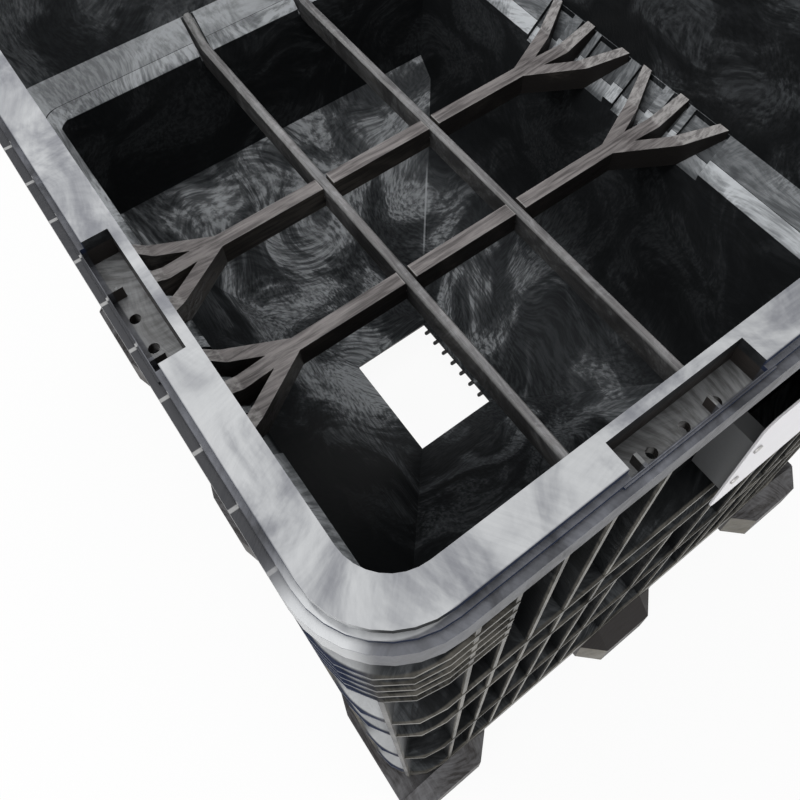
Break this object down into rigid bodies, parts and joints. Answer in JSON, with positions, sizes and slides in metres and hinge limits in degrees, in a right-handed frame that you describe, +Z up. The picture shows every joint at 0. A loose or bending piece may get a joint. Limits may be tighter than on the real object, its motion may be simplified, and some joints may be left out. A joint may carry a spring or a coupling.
{
  "type": "hopper bottom bulk container",
  "caption": "Rectangular plastic bulk container with ribbed walls, sloped hopper floor, forked bracing beams, a comb-edged slide gate at the outlet and feet for fork entry.",
  "frame": {"origin": "middle of the footprint, on the floor under the feet", "axes": "+X across the short side towards the gate's open end, +Y along the long side, +Z up"},
  "size_m": [1.126, 1.435, 1.385],
  "materials": {
    "body_plastic": "black moulded foam plastic with grey swirls and brushed fibres",
    "base_plastic": "near-black plastic, brushed on its upper slopes",
    "brace_plastic": "dark grey-brown plastic with lengthwise streaks",
    "gate_plastic": "plain black plastic",
    "placard_white": "blank white sheet plastic",
    "bracket_grey": "grey plastic",
    "zinc_steel": "zinc plated"
  },
  "bodies": {
    "frame": {"container_body": "body_plastic", "hopper": "body_plastic", "tie_beam_near": "brace_plastic", "tie_beam_far": "brace_plastic", "cross_rib_left": "brace_plastic", "cross_rib_right": "brace_plastic", "gate_rail_near": "gate_plastic", "gate_rail_far": "gate_plastic", "placard": "placard_white", "pallet_base": "base_plastic", "base_screw_1": "zinc_steel", "base_screw_2": "zinc_steel", "base_screw_3": "zinc_steel", "base_screw_4": "zinc_steel", "base_screw_5": "zinc_steel", "base_screw_6": "zinc_steel", "base_screw_7": "zinc_steel", "base_screw_8": "zinc_steel", "rail_screw_1": "zinc_steel", "rail_screw_2": "zinc_steel", "rail_screw_3": "zinc_steel", "rail_screw_4": "zinc_steel", "rail_screw_5": "zinc_steel", "rail_screw_6": "zinc_steel", "placard_bracket_1": "bracket_grey", "placard_bracket_2": "bracket_grey", "placard_rivet_1": "zinc_steel", "placard_rivet_2": "zinc_steel", "placard_rivet_3": "zinc_steel", "placard_rivet_4": "zinc_steel"},
    "gate": {"slide_gate": "gate_plastic"}
  },
  "joints": [
    {"name": "gate_slide", "type": "slide", "parent": "frame", "child": "gate", "axis": [-1, 0, 0], "range_m": [0, 0.205]}
  ]
}
